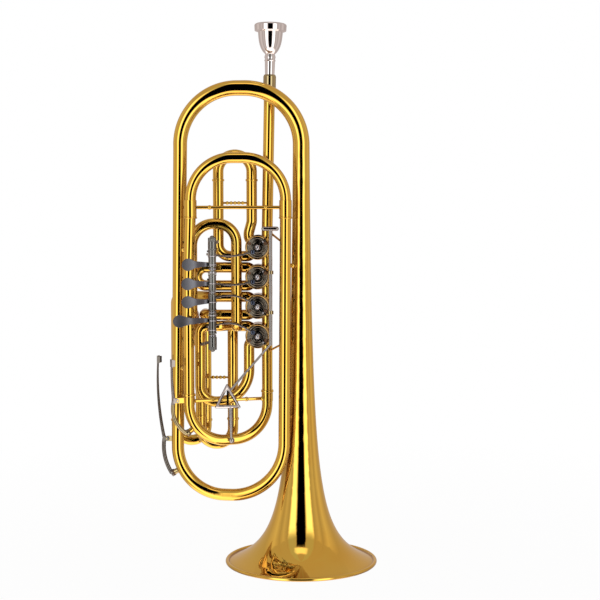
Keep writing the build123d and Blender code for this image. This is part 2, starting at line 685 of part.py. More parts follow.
def braces():
    """Soldered stays between neighbouring tubes."""
    stays = []
    for z in LEG_BRACES:
        outer = along(OUTER_LINE, z)
        inner = along(LEFT_LINE, z) if z > LEFT_BEND_Z else (LEFT_X, INNER_Y, z)
        stay = beaded_rod(outer, inner, LEG_BRACE_R, LEG_BRACE_BEADS)
        stays.append(stay - upright(outer, OUTER_TOP_R - 0.2) - upright(inner, INNER_R))
    for z in BELL_BRACES:
        leg = along(RIGHT_LINE, z)
        stay = beaded_rod(leg, (0, 0, z), BELL_BRACE_R, BELL_BRACE_BEADS)
        stays.append(stay - upright(leg, INNER_R + 0.5) - upright((0, 0, z), bell_radius(z - 4)))
    crook_left = (LEFT_TOP_X, INNER_Y, CROOK_BAR_Z)
    crook_right = (RIGHT_TOP_X, INNER_Y, CROOK_BAR_Z)
    stays.append(level_bar(crook_left, crook_right, CROOK_BAR_R, CROOK_BAR_BEADS, INNER_R + 0.9))
    slide_left = (SLIDE_1_X, VALVE_Y, SLIDE_BAR_Z)
    slide_right = (SLIDE_1_RIGHT_X, VALVE_Y, SLIDE_BAR_Z)
    stays.append(level_bar(slide_left, slide_right, SLIDE_BAR_R, TURNED_BEADS, LOOP_R))
    low_left = (TUBE_A_X, MIDDLE_Y, LOW_BAR_Z)
    low_right = (TUBE_T_X, MIDDLE_Y, LOW_BAR_Z)
    stays.append(level_bar(low_left, low_right, LOW_BAR_R, TURNED_BEADS, LOOP_R))
    for lead_z, leg_z in LEAD_BRACES:
        leg = along(RIGHT_LINE, leg_z)
        lead = (MAIN_X, VALVE_Y, lead_z)
        elbow = (*LEAD_BRACE_CORNER, (lead_z + leg_z) / 2)
        stay = sweep_disc(route([lead, elbow, leg], [10]), LEAD_BRACE_R)
        stays.append(stay - upright(leg, INNER_R + 0.4) - upright(lead, LEAD_R + 0.2))
    return stays


# ---- valve action ----
def pin_angle(number):
    """Rest direction of a crank pin seen from the front, in degrees from +X towards +Z."""
    return 225.0 if number < 3 else 135.0


def around(number, radius, angle, y):
    """A point round a valve axis."""
    turn = math.radians(angle)
    return (VALVE_X + radius * math.cos(turn), y, valve_z(number) + radius * math.sin(turn))


STOP_FRONT = -4.2
STOP_BACK = -1.1
PLATE_BACK = 0.0
HUB_BOSS_R = 4.6
PIN_BOSS_R = 2.4
FINGER_R = 1.5
CRANK_WIDTH = 3.6
FINGER_WIDTH = 3.0
FINGER_REACH = STOP_R + 1.2
PIN_PROUD = 2.4


def stop_arm(number):
    """Clamp on the rotor shaft with a crank pin and the finger that meets the corks."""
    z = valve_z(number)
    angle = pin_angle(number)
    body = rod((VALVE_X, STOP_FRONT, z), (VALVE_X, STOP_BACK, z), HUB_BOSS_R)
    pin = around(number, CRANK, angle, STOP_FRONT)
    body += rod(pin, (pin[0], STOP_BACK, pin[2]), PIN_BOSS_R)
    tip = around(number, FINGER_REACH, angle + 180, STOP_FRONT)
    body += rod(tip, (tip[0], STOP_BACK, tip[2]), FINGER_R)
    for reach, width, direction in ((CRANK, CRANK_WIDTH, angle), (FINGER_REACH, FINGER_WIDTH, angle + 180)):
        bar = Box(reach, STOP_BACK - STOP_FRONT, width, align=(Align.MIN, Align.MIN, Align.CENTER))
        body += Pos(VALVE_X, STOP_FRONT, z) * Rot(0, -direction, 0) * bar
    body += rod((pin[0], LINK_Y - PIN_PROUD, pin[2]), pin, CRANK_PIN_R)
    body -= rod((VALVE_X, STOP_FRONT - 1, z), (VALVE_X, STOP_BACK + 1, z), SHAFT_R + 0.02)
    return body


HEAD_R = 3.3
HEAD_HEIGHT = 2.2
SLOT_WIDTH = 0.9
SLOT_ANGLE = 35


def rotor_screw(number):
    """Slotted screw that holds the stop arm on the rotor shaft."""
    z = valve_z(number)
    top = STOP_FRONT - HEAD_HEIGHT
    head = rod((VALVE_X, top, z), (VALVE_X, STOP_FRONT - PIN_FIT, z), HEAD_R)
    shank = rod((VALVE_X, STOP_FRONT - 2 * PIN_FIT, z), (VALVE_X, STOP_FRONT + SCREW_DEPTH, z), SCREW_R)
    slot = Pos(VALVE_X, top, z) * Rot(0, SLOT_ANGLE, 0) * Box(SLOT_WIDTH, HEAD_HEIGHT * 0.7, 3 * HEAD_R)
    return head + shank - slot


CORK_R = 1.9
CORK_OFFSET = 3.45
POCKET_R = 2.8
PLATE_RING = (13.2, 8.0)


def cork_angles(number):
    """Directions of the two stop corks round a valve axis."""
    rest = pin_angle(number) + 180
    middle = rest + 45 if number < 3 else rest - 45
    spread = 45 + math.degrees(math.asin(CORK_OFFSET / STOP_R))
    return (middle - spread, middle + spread)


def cork_plate(number):
    """Curved plate on the casing front with a pocket rim for each cork."""
    z = valve_z(number)
    first, last = cork_angles(number)
    ring = pipe((VALVE_X, STOP_BACK + 0.1, z), (VALVE_X, PLATE_BACK, z), *PLATE_RING)
    keep = Pos(VALVE_X, PLATE_BACK, z) * Rot(0, -(first + last) / 2, 0)
    half = keep * Box(16, 8, 30, align=(Align.MIN, Align.CENTER, Align.CENTER))
    plate = ring & half
    for angle in (first, last):
        spot = around(number, STOP_R, angle, STOP_FRONT - 0.2)
        plate += rod((spot[0], STOP_BACK + 0.1, spot[2]), (spot[0], PLATE_BACK, spot[2]), POCKET_R)
        plate -= rod((spot[0], STOP_BACK - 1, spot[2]), (spot[0], PLATE_BACK + 1, spot[2]), CORK_R)
    return plate


def stop_corks(number):
    corks = []
    for angle in cork_angles(number):
        spot = around(number, STOP_R, angle, 0)
        corks.append(rod((spot[0], STOP_FRONT - 0.6, spot[2]), (spot[0], PLATE_BACK, spot[2]), CORK_R - SNUG))
    return corks


LINK_LEFT_Z = {1: 364.5, 2: 331.6, 3: 311.2, 4: 279.3}
LINK_SAG = {1: -1.8, 2: -3.0, 3: 4.6, 4: 3.6}
EYE_R = 3.1
EYE_HOLE = 2.0
LEVER_PIN_R = 1.0
BALL_R = 2.9
EYE_THICKNESS = 2.6


def lever_pin_xy():
    """Rest place of the pin on a lever's short arm."""
    half_stroke = CRANK * math.sin(math.radians(45))
    return (AXLE_X - half_stroke, AXLE_Y + math.sqrt(LEVER_ARM**2 - half_stroke**2))


def link(number):
    """Thin bent rod with an eye at each end, between a lever and a crank pin."""
    pin = around(number, CRANK, pin_angle(number), LINK_Y)
    x, y = lever_pin_xy()
    z = LINK_LEFT_Z[number]
    low = (x + EYE_HOLE + 0.5, y, z)
    middle = ((x + pin[0]) / 2 + 4, LINK_Y, z + LINK_SAG[number])
    high = (pin[0] - 2.0, LINK_Y, pin[2])
    path = Spline(low, middle, high)
    body = sweep_disc(path, LINK_R)
    body += Pos(pin[0], LINK_Y, pin[2]) * (Sphere(BALL_R) & Box(3 * BALL_R, 4.5, 3 * BALL_R))
    body += pipe((x, y, z - EYE_THICKNESS / 2), (x, y, z + EYE_THICKNESS / 2), EYE_R, EYE_HOLE)
    body -= rod((pin[0], LINK_Y - 4, pin[2]), (pin[0], LINK_Y + 4, pin[2]), CRANK_PIN_R + PIN_FIT)
    body -= rod((x, y, z - 3), (x, y, z + 3), EYE_HOLE)
    return body


HUBS = {1: (350.5, 370.0), 2: (323.5, 342.0), 3: (300.5, 319.0), 4: (273.5, 292.5)}
PADDLE_Z = {1: 353.6, 2: 331.5, 3: 310.7, 4: 289.2}
PADDLE_X = {1: -129.0, 2: -129.6, 3: -129.6, 4: -139.0}
PADDLE_Y = {1: -44.0, 2: -44.0, 3: -44.0, 4: -49.0}
PADDLE_R = 7.1
PADDLE_THICKNESS = 1.9
ARM_OFFSET = 3.4
ARM_WIDTH = 3.2
ARM_HEIGHT = 2.2
ARM_EYE_R = 2.4
RING_HEIGHT = 1.6


def touchpiece(number):
    """Teardrop finger plate, curved outwards from its hub."""
    x = PADDLE_X[number]
    y = PADDLE_Y[number]
    z = PADDLE_Z[number]
    hub_z = min(max(z, HUBS[number][0] + 2.5), HUBS[number][1] - 2.5)
    neck_x = AXLE_X - 3.0
    tip_x = x - PADDLE_R - 1
    neck = (neck_x, AXLE_Y - 3.2)
    bend = (neck_x - 8, AXLE_Y - 5.5)
    line = Spline([neck, bend, ((x + neck_x) / 2, y + 5.0), (x, y), (tip_x, y - 1.6)])
    strip = trace(line, PADDLE_THICKNESS)
    slab = Pos(0, 0, z - 20) * extrude(strip, 40)
    round_end = Circle(PADDLE_R)
    shoulder = x + 0.35 * (neck_x - x)
    outline = [
        (0.1, PADDLE_R - 0.05),
        (shoulder - x, PADDLE_R * 0.55),
        (neck_x - x + 1, hub_z - z + PADDLE_THICKNESS),
        (neck_x - x + 1, hub_z - z - PADDLE_THICKNESS),
        (shoulder - x, -PADDLE_R * 0.55),
        (0.1, -PADDLE_R + 0.05),
    ]
    taper = make_face(Polyline(*outline, close=True))
    plan = Plane(origin=(x, -80, z), x_dir=(1, 0, 0), z_dir=(0, -1, 0)) * (round_end + taper)
    return slab & extrude(plan, 80, dir=(0, 1, 0))


def lever(number):
    """Finger lever: hub tube on the rail, finger plate and short arm with its pin."""
    low, high = HUBS[number]
    x, y = lever_pin_xy()
    z = LINK_LEFT_Z[number]
    down = number < 3
    arm_z = z + ARM_OFFSET if down else z - ARM_OFFSET
    body = rod((AXLE_X, AXLE_Y, low), (AXLE_X, AXLE_Y, high), HUB_R - 0.5)
    for ring_z in (low, high - RING_HEIGHT):
        body += rod((AXLE_X, AXLE_Y, ring_z), (AXLE_X, AXLE_Y, ring_z + RING_HEIGHT), HUB_R)
    body += touchpiece(number)
    middle = ((AXLE_X + x) / 2, (AXLE_Y + y) / 2)
    tilt = math.degrees(math.atan2(y - AXLE_Y, x - AXLE_X))
    arm = Pos(middle[0], middle[1], arm_z) * Rot(0, 0, tilt) * Box(LEVER_ARM, ARM_WIDTH, ARM_HEIGHT)
    body += arm
    body += rod((x, y, arm_z - ARM_HEIGHT / 2), (x, y, arm_z + ARM_HEIGHT / 2), ARM_EYE_R)
    far = z - ARM_OFFSET - 1 if down else z + ARM_OFFSET + 1
    near = arm_z - 0.5 if down else arm_z + 0.5
    body += rod((x, y, min(near, far)), (x, y, max(near, far)), LEVER_PIN_R)
    body -= rod((AXLE_X, AXLE_Y, low - 1), (AXLE_X, AXLE_Y, high + 1), AXLE_R + PIN_FIT)
    return body


RAIL_TOP = 385.0
RAIL_LOW = 253.0
KNOB_R = 3.2
POSTS = ((371.5, 380.0), (342.7, 345.7), (293.2, 296.2), (258.2, 269.0))
POST_STAY_R = 1.8
SPRING_BASES = (346.6, 319.9, 296.9, 269.7)


def lever_rail():
    """Hinge rod shared by the four levers, with turned end knobs."""
    body = rod((AXLE_X, AXLE_Y, RAIL_LOW + 4), (AXLE_X, AXLE_Y, RAIL_TOP - 3), AXLE_R)
    body += Pos(AXLE_X, AXLE_Y, RAIL_TOP - 1.5) * Sphere(KNOB_R)
    body += Pos(AXLE_X, AXLE_Y, RAIL_LOW + 2.5) * Sphere(KNOB_R)
    return body


def rail_posts():
    """Bearing posts of the rail, with stays soldered to the valve tubing."""
    posts = []
    for low, high in POSTS:
        posts.append(pipe((AXLE_X, AXLE_Y, low), (AXLE_X, AXLE_Y, high), HUB_R, AXLE_R + SNUG))
    upper = rod((AXLE_X + 0.5, AXLE_Y + 4, 376), (SLIDE_1_X, VALVE_Y, 379.5), POST_STAY_R)
    upper -= Pos(SLIDE_1_X, VALVE_Y, 385) * Cylinder(LOOP_R, 40)
    upper -= rod((AXLE_X, AXLE_Y, 360), (AXLE_X, AXLE_Y, 390), HUB_R - 0.3)
    posts[0] += upper
    lower = rod((AXLE_X - 1, AXLE_Y + 4, 264), (RETURN_X, VALVE_Y, 256), POST_STAY_R)
    lower -= Pos(RETURN_X, VALVE_Y, 256) * Cylinder(LOOP_R, 40)
    lower -= rod((AXLE_X, AXLE_Y, 250), (AXLE_X, AXLE_Y, 280), HUB_R - 0.3)
    posts[3] += lower
    return posts


def coil(base, axis, radius, wire, turns, pitch):
    """A small coil spring."""
    path = Helix(pitch, pitch * turns, radius)
    start = path @ 0
    body = sweep(Plane(origin=start, z_dir=path % 0) * Circle(wire), path=path, is_frenet=True)
    return Plane(origin=base, z_dir=axis) * body


def lever_springs():
    springs = []
    for low in SPRING_BASES:
        springs.append(coil((AXLE_X, AXLE_Y, low), (0, 0, 1), 3.9, 0.45, 2.5, 1.1))
    return springs


# ---- tuning-slide trigger ----
TRIANGLE_Y = -20.0
TRIGGER_X = -35.7
TRIGGER_Y = -17.5
TRIGGER_R = 2.1
TRIGGER_LOW = 260.0
TRIGGER_TOP = 393.0
BAR_ENDS = (-43.6, -28.6)
BAR_Z = 394.4
BAR_R = 2.6
ELBOW_END = (-82.5, 206.5)
ELBOW_R = 1.35
FOOT_TOP = (-82.6, TRIANGLE_Y, 187.0)
FOOT_LOW = (-82.3, -10.0, 148.5)
FOOT_BALL = (-81.8, -8.8, 145.5)
GUIDES = ((343.7, 355.0), (297.1, 285.3))
GUIDE_R = 3.4
TRIANGLE = [(-86.6, 214.8), (-101.4, 185.3), (-70.0, 185.3)]


def triangle_plate():
    """Triangular plate with an open window and a rib down its middle."""
    outer = make_face(Polyline(*TRIANGLE, close=True))
    outer = fillet(outer.vertices(), 1.2)
    window = offset(outer, -3.4)
    rib = Pos(-85.7, 195) * Rectangle(2.4, 22)
    section = outer - window + (rib & outer)
    return Pos(0, TRIANGLE_Y, 0) * extrude(Plane.XZ * section, 1.3, both=True)


def trigger():
    """Finger bar, push rod, triangle and foot that move the tuning slide."""
    low = (TRIGGER_X, TRIGGER_Y, TRIGGER_LOW)
    body = rod(low, (TRIGGER_X, TRIGGER_Y, TRIGGER_TOP), TRIGGER_R)
    body += Pos(*low) * Sphere(TRIGGER_R)
    left, right = BAR_ENDS
    body += rod((left, TRIGGER_Y, BAR_Z), (right, TRIGGER_Y, BAR_Z), BAR_R)
    for end in BAR_ENDS:
        body += Pos(end, TRIGGER_Y, BAR_Z) * Sphere(BAR_R)
    body += rod(low, (ELBOW_END[0], TRIANGLE_Y, ELBOW_END[1]), ELBOW_R)
    body += triangle_plate()
    axis = Vector(*FOOT_TOP) - Vector(*FOOT_LOW)
    shank = Cone(1.5, 2.4, axis.length, align=(Align.CENTER, Align.CENTER, Align.MIN))
    body += Plane(origin=FOOT_LOW, z_dir=axis) * shank
    body += Pos(*FOOT_BALL) * Sphere(GUIDE_R)
    return body - sweep_disc(tuning_path(), LOOP_R)


def trigger_guides():
    """Eyes on short stays that keep the push rod straight."""
    guides = []
    for z, foot in GUIDES:
        eye = rod((TRIGGER_X, TRIGGER_Y, z - 2), (TRIGGER_X, TRIGGER_Y, z + 2), GUIDE_R)
        eye += rod((TRIGGER_X, TRIGGER_Y + 2, z), (MAIN_X + 2, VALVE_Y, foot), 1.3)
        eye -= rod((TRIGGER_X, TRIGGER_Y, z - 6), (TRIGGER_X, TRIGGER_Y, z + 6), TRIGGER_R + PIN_FIT)
        eye -= Pos(MAIN_X, VALVE_Y, foot) * Cylinder(LOOP_R, 30)
        guides.append(eye)
    return guides


# ---- water keys: local frame with +X pointing away from the tubing ----
KEY_PIN_R = 0.9
KEY_POST = {1: 5.6, 2: 8.6}
KEY_SEAT = {1: OUTER_LOW_R, 2: LOOP_R + 0.46}
KEY_SPREAD = {1: (6.8, 10.4), 2: (5.2, 5.9)}


def key_frame(number):
    """Place of a water key's pivot: on the outer leg or on the tuning slide."""
    if number == 1:
        outward = Vector(OUTER_LOW_X - RIGHT_LOW_X, -LOW_Y, 0).normalized()
        return Plane(origin=(OUTER_LOW_X, 0, 146.0), x_dir=outward, z_dir=(0, 0, 1))
    outward = Vector(LEFT_X - MAIN_X, INNER_Y - VALVE_Y, 0).normalized()
    return Plane(origin=(LEFT_X, INNER_Y, 194.5), x_dir=outward, z_dir=(0, 0, 1))


KEY_BOW = {
    1: (BOTTOM_CORNER, BOTTOM_CORNER - BOTTOM_DROP - 1.2, 7.3),
    2: (TUNING_CORNER, TUNING_CORNER - TUNING_DROP - 0.5, LOOP_R),
}
KEY_ANGLE = {1: 27.0, 2: 36.0}
NIPPLE = (3.2, 2.0)
NIPPLE_LENGTH = 4.4
PAD_R = 3.8
PAD_HEIGHT = 1.6
CUP_R = 4.2
CUP_DEPTH = 4.0
CHEEK_R = 2.6
CHEEK_INNER = 1.3
ARM_START = 3.6
KEY_REACH = {1: 98.0, 2: 48.0}


def nipple_line(number):
    """Axis of the drain nipple in the key's frame: start on the bow and outward direction."""
    bow_r, bow_z, tube_r = KEY_BOW[number]
    turn = math.radians(KEY_ANGLE[number])
    out = Vector(math.cos(turn), 0, -math.sin(turn))
    centre = Vector(-bow_r, 0, bow_z)
    return centre + out * (bow_r + tube_r - 0.6), out


def saddle_and_nipple(number):
    """Pivot lug and drain nipple that are soldered to the tube."""
    start, out = nipple_line(number)
    tube_r = KEY_BOW[number][2]
    post = KEY_POST[number]
    lug = Pos(tube_r + (post + 0.1) / 2 - 0.6, 0, 0) * Box(post + 1.3, 2.4, 6.0)
    lug += rod((tube_r + post, -CHEEK_R - WALL, 0), (tube_r + post, CHEEK_R + WALL, 0), KEY_PIN_R)
    lug -= Cylinder(KEY_SEAT[number], 30)
    tip = start + out * NIPPLE_LENGTH
    nipple = pipe(tuple(start), tuple(tip), *NIPPLE)
    bow_r, bow_z, _ = KEY_BOW[number]
    ring = Pos(-bow_r, 0, bow_z) * Rot(90, 0, 0) * Torus(bow_r, tube_r)
    nipple -= ring
    return [key_frame(number) * lug, key_frame(number) * nipple]


def water_key(number):
    """Sprung lever with a fork round the pivot lug, a finger tab and a cup for its pad."""
    start, out = nipple_line(number)
    pivot_x = KEY_BOW[number][2] + KEY_POST[number]
    seat = start + out * (NIPPLE_LENGTH + MOUTH_GAP)
    cheeks = []
    for side in (-1, 1):
        cheek = rod((pivot_x, side * CHEEK_INNER, 0), (pivot_x, side * 2 * CHEEK_INNER, 0), CHEEK_R)
        cheek += Pos(pivot_x + 2.0, side * 1.5 * CHEEK_INNER, 0) * Box(4.0, CHEEK_INNER, 4.2)
        cheeks.append(cheek)
    spine = Pos(pivot_x + ARM_START, 0, 0) * Box(2.4, 4 * CHEEK_INNER, 6.4)
    reach = KEY_REACH[number]
    middle, end = KEY_SPREAD[number]
    arm = Spline([(pivot_x + ARM_START, 0, 0), (pivot_x + middle, 0, 17), (pivot_x + end, 0, reach - 2)])
    low_plane = Plane(origin=arm @ 0, z_dir=arm % 0)
    high_plane = Plane(origin=arm @ 1, z_dir=arm % 1)
    upper = sweep([low_plane * Ellipse(2.0, 2.4), high_plane * Ellipse(1.0, 2.0)], path=arm, multisection=True)
    tab = Pos(pivot_x + end, 0, reach - 4) * Box(1.6, 7.6, 9.0)
    tab += Pos(pivot_x + end - 1.6, 3.2, reach - 4) * Box(3.4, 1.2, 7.6)
    tab += Pos(pivot_x + end - 1.6, -3.2, reach - 4) * Box(3.4, 1.2, 7.6)
    cup_back = seat + out * CUP_DEPTH
    lower_line = Spline([(pivot_x + ARM_START, 0, 0), (pivot_x + 3.2, 0, cup_back.Z * 0.5), tuple(cup_back)])
    cup = rod(tuple(seat + out * PAD_HEIGHT), tuple(cup_back), CUP_R)
    body = spine + cheeks + upper + tab + sweep_disc(lower_line, 2.4) + cup
    body -= rod((pivot_x, -5, 0), (pivot_x, 5, 0), KEY_PIN_R + PIN_FIT)
    pad = rod(tuple(seat), tuple(seat + out * (PAD_HEIGHT - SNUG)), PAD_R)
    return key_frame(number) * body, key_frame(number) * pad


def key_spring(number):
    pivot_x = KEY_BOW[number][2] + KEY_POST[number]
    side = coil((pivot_x, -6.2, 0), (0, 1, 0), 2.0, 0.35, 2.0, 0.9)
    return key_frame(number) * side


# ---- writing ----
def group(shapes):
    """All solids of several shapes as one compound."""
    solids = []
    for shape in shapes:
        solids.extend(shape.solids())
    return Compound(children=[Solid(s.wrapped) for s in solids])


def save(name, *shapes):
    part = group(shapes)
    part.label = name
    export_step(part, f"parts/{name}.step")


os.makedirs("parts", exist_ok=True)
save("bell", bell())
save("bell_rim_wire", bell_rim_wire())
save("bell_bow", bell_bow())
save("outer_leg", outer_leg())
save("bottom_bow", bottom_bow())
save("right_leg", right_leg())
save("crook_bow", crook_bow())
save("left_leg", left_leg())
save("leadpipe", leadpipe())
save("mouthpiece_receiver", mouthpiece_receiver())
save("mouthpiece", mouthpiece())
save("valve_casings", *[valve_casing(n) for n in VALVES])
save("rear_bearings", *[rear_bearing(n) for n in VALVES])
save("casing_caps", *[casing_cap(n) for n in VALVES])
save("main_knuckles", *[knuckle(n) for n in VALVES[:3]], tuning_outer_tube())
save("valve_tubes_1", *valve_tubes_1())
save("valve_tubes_2", *valve_tubes_2())
save("valve_tubes_3", *valve_tubes_3())
save("valve_tubes_4", *valve_tubes_4())
save("valve_slide_1", valve_slide_1())
save("valve_slide_2", valve_slide_2())
save("valve_slide_3", valve_slide_3())
save("valve_slide_4", valve_slide_4())
save("main_tuning_slide", main_tuning_slide())
save("ferrules", *ferrules())
save("braces", *braces())
save("cork_plates", *[cork_plate(n) for n in VALVES])
save("stop_corks", *[cork for n in VALVES for cork in stop_corks(n)])
for n in VALVES:
    save(f"rotor_{n}", rotor(n))
    save(f"stop_arm_{n}", stop_arm(n))
    save(f"rotor_screw_{n}", rotor_screw(n))
    save(f"link_{n}", link(n))
    save(f"lever_{n}", lever(n))
save("lever_rail", lever_rail())
save("rail_posts", *rail_posts())
save("springs", *lever_springs(), key_spring(1))
save("trigger", trigger())
save("trigger_guides", *trigger_guides())
save("water_key_mount_1", *saddle_and_nipple(1))
save("water_key_mount_2", *saddle_and_nipple(2))
for n in (1, 2):
    key, pad = water_key(n)
    save(f"water_key_{n}", key)
    save(f"water_key_pad_{n}", pad)
save("water_key_spring_2", key_spring(2))
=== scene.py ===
import bmesh
import bpy
import json
import math
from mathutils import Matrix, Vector


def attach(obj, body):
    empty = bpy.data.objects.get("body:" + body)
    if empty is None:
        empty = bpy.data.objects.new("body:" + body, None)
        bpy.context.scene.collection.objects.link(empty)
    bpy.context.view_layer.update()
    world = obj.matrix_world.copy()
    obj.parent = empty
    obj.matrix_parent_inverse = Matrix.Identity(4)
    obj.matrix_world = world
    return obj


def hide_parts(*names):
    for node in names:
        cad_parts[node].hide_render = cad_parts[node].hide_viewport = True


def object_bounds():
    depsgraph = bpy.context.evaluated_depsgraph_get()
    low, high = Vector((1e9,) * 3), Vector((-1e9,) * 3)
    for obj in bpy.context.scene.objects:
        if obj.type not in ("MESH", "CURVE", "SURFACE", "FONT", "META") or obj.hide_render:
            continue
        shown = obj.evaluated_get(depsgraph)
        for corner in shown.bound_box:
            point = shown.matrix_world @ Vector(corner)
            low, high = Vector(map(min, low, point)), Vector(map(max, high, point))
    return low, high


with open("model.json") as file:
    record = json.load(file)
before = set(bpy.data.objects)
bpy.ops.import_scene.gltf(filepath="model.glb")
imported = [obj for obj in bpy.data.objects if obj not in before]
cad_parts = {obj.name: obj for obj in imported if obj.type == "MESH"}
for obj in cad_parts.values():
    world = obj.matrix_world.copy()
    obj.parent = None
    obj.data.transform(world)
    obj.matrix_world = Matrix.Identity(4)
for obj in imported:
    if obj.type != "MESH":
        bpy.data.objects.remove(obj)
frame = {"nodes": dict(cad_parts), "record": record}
cad_low, cad_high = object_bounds()
MM = 0.001
VALVES = (1, 2, 3, 4)

# ---- which finish each CAD node wears ----
record = frame["record"]
NODE_SLOT = {entry["node"]: entry["material_slot"] for entry in record["subparts"]}


# ---- small helpers for node materials ----
def new_material(name):
    """An empty node material with its output node."""
    material = bpy.data.materials.new(name)
    material.use_nodes = True
    nodes = material.node_tree.nodes
    nodes.clear()
    output = nodes.new("ShaderNodeOutputMaterial")
    return material, nodes, material.node_tree.links, output


def object_noise(nodes, links, scale, detail=3.0, stretch=(1, 1, 1)):
    """Noise in object space, optionally stretched along an axis."""
    place = nodes.new("ShaderNodeTexCoord")
    mapping = nodes.new("ShaderNodeMapping")
    mapping.inputs["Scale"].default_value = stretch
    noise = nodes.new("ShaderNodeTexNoise")
    noise.inputs["Scale"].default_value = scale
    noise.inputs["Detail"].default_value = detail
    links.new(place.outputs["Object"], mapping.inputs["Vector"])
    links.new(mapping.outputs["Vector"], noise.inputs["Vector"])
    return noise.outputs["Fac"]


MID_LOW = 0.35
MID_HIGH = 0.65


def ramp(nodes, links, source, low, high, start=MID_LOW, end=MID_HIGH):
    """Maps a 0..1 value between two greys."""
    span = nodes.new("ShaderNodeMapRange")
    span.inputs["From Min"].default_value = start
    span.inputs["From Max"].default_value = end
    span.inputs["To Min"].default_value = low
    span.inputs["To Max"].default_value = high
    links.new(source, span.inputs["Value"])
    return span.outputs["Result"]


def mix_colour(nodes, links, share, first, second):
    """Blends two colours, each a socket or a plain colour."""
    blend = nodes.new("ShaderNodeMix")
    blend.data_type = "RGBA"
    links.new(share, blend.inputs["Factor"])
    for slot, colour in (("A", first), ("B", second)):
        if isinstance(colour, tuple):
            blend.inputs[slot].default_value = (*colour, 1)
        else:
            links.new(colour, blend.inputs[slot])
    return blend.outputs["Result"]


def two_colours(nodes, links, source, first, second, start=MID_LOW, end=MID_HIGH):
    """Blends two colours by a 0..1 value."""
    return mix_colour(nodes, links, ramp(nodes, links, source, 0, 1, start, end), first, second)


def object_axes(nodes, links):
    """The X, Y and Z sockets of a point in object space."""
    place = nodes.new("ShaderNodeTexCoord")
    split = nodes.new("ShaderNodeSeparateXYZ")
    links.new(place.outputs["Object"], split.inputs["Vector"])
    return split.outputs


def bump(nodes, links, source, strength, distance):
    """A bump normal from a height value."""
    node = nodes.new("ShaderNodeBump")
    node.inputs["Strength"].default_value = strength
    node.inputs["Distance"].default_value = distance
    links.new(source, node.inputs["Height"])
    return node.outputs["Normal"]


def math_node(nodes, links, operation, first, second=0.0):
    """One arithmetic step on sockets or numbers."""
    node = nodes.new("ShaderNodeMath")
    node.operation = operation
    for index, value in enumerate((first, second)):
        if isinstance(value, (int, float)):
            node.inputs[index].default_value = value
        else:
            links.new(value, node.inputs[index])
    return node.outputs[0]


def seen_colour(nodes, links, direct, mirrored):
    """One colour for the eye and another for what the surface shows in its neighbours' polish."""
    path = nodes.new("ShaderNodeLightPath")
    return mix_colour(nodes, links, path.outputs["Is Glossy Ray"], direct, mirrored)


NEAR_TUBES = 22.0 * MM
# Painted shade: flanks close to other tubes are darkened towards this brown.
CREVICE_SHADE_BROWN = (0.32, 0.17, 0.06)
TURNED_AWAY = (0.08, 0.4)
COAT_ROUGHNESS = 0.02
DRIFT_SCALE = 14.0
POLISH_SCALE = 60.0
GRAIN_DEPTH = 0.2 * MM


def painted_crevice_shade(nodes, links, colour):
    """The colour, turned towards a dark brown painted shade on flanks that lie close to other tubes,
    standing in for their shade and their reflected brown.
    """
    shade = nodes.new("ShaderNodeAmbientOcclusion")
    shade.samples = 4
    shade.inputs["Distance"].default_value = NEAR_TUBES
    turned = nodes.new("ShaderNodeLayerWeight")
    turned.inputs["Blend"].default_value = 0.5
    aside = ramp(nodes, links, turned.outputs["Facing"], 0.0, 1.0, *TURNED_AWAY)
    closed = math_node(nodes, links, "SUBTRACT", 1.0, shade.outputs["AO"])
    share = math_node(nodes, links, "MULTIPLY", closed, aside)
    return mix_colour(nodes, links, share, colour, CREVICE_SHADE_BROWN)


def metal(name, colours, rough, grain, mirrored=None, edge=0.0, beyond=None):
    """A polished metal: colour drift, uneven polish, a fine surface grain and softened edges.

    beyond is (axis, comparison, place, colours, roughness) for a second finish past a plane.
    """
    material, nodes, links, output = new_material(name)
    shader = nodes.new("ShaderNodeBsdfPrincipled")
    shader.inputs["Metallic"].default_value = 1.0
    shader.inputs["Coat Weight"].default_value = 0.0
    shader.inputs["Coat Roughness"].default_value = COAT_ROUGHNESS
    drift = object_noise(nodes, links, DRIFT_SCALE)
    colour = two_colours(nodes, links, drift, *colours)
    # Painted shade: flanks near other tubes turn dark brown, and reflections of this surface show the
    # mirrored colour.
    if mirrored:
        colour = seen_colour(nodes, links, painted_crevice_shade(nodes, links, colour), mirrored)
    polish = ramp(nodes, links, object_noise(nodes, links, POLISH_SCALE, 5.0), *rough)
    if beyond:
        axis, side, start, other_colours, other_rough = beyond
        split = object_axes(nodes, links)
        past = math_node(nodes, links, side, split[axis], start)
        colour = mix_colour(nodes, links, past, colour, two_colours(nodes, links, drift, *other_colours))
        added = math_node(nodes, links, "MULTIPLY", past, other_rough - rough[0])
        polish = math_node(nodes, links, "ADD", polish, added)
    links.new(colour, shader.inputs["Base Color"])
    links.new(polish, shader.inputs["Roughness"])
    scale, stretch, strength = grain
    height = object_noise(nodes, links, scale, 4.0, stretch)
    relief = nodes.new("ShaderNodeBump")
    relief.inputs["Strength"].default_value = strength
    relief.inputs["Distance"].default_value = GRAIN_DEPTH
    links.new(height, relief.inputs["Height"])
    if edge:
        rounded = nodes.new("ShaderNodeBevel")
        rounded.samples = 6
        rounded.inputs["Radius"].default_value = edge
        links.new(rounded.outputs["Normal"], relief.inputs["Normal"])
    links.new(relief.outputs["Normal"], shader.inputs["Normal"])
    links.new(shader.outputs["BSDF"], output.inputs["Surface"])
    return material


VALVE_X = -51.3 * MM
VALVE_TOP_Z = 372.4 * MM
VALVE_PITCH = 34.9 * MM
RING_PITCH = 2.6 * MM
RING_DEPTH = 0.42 * MM
DISC_RADIUS = 12.3 * MM
RIM_COLOUR = (0.5, 0.3, 0.1)
STAIN_SCALE = 260.0
STAIN_SPAN = (0.45, 0.7)


def valve_z(number):
    """Height of a valve's axis; valve 1 is the top one."""
    return VALVE_TOP_Z - (number - 1) * VALVE_PITCH


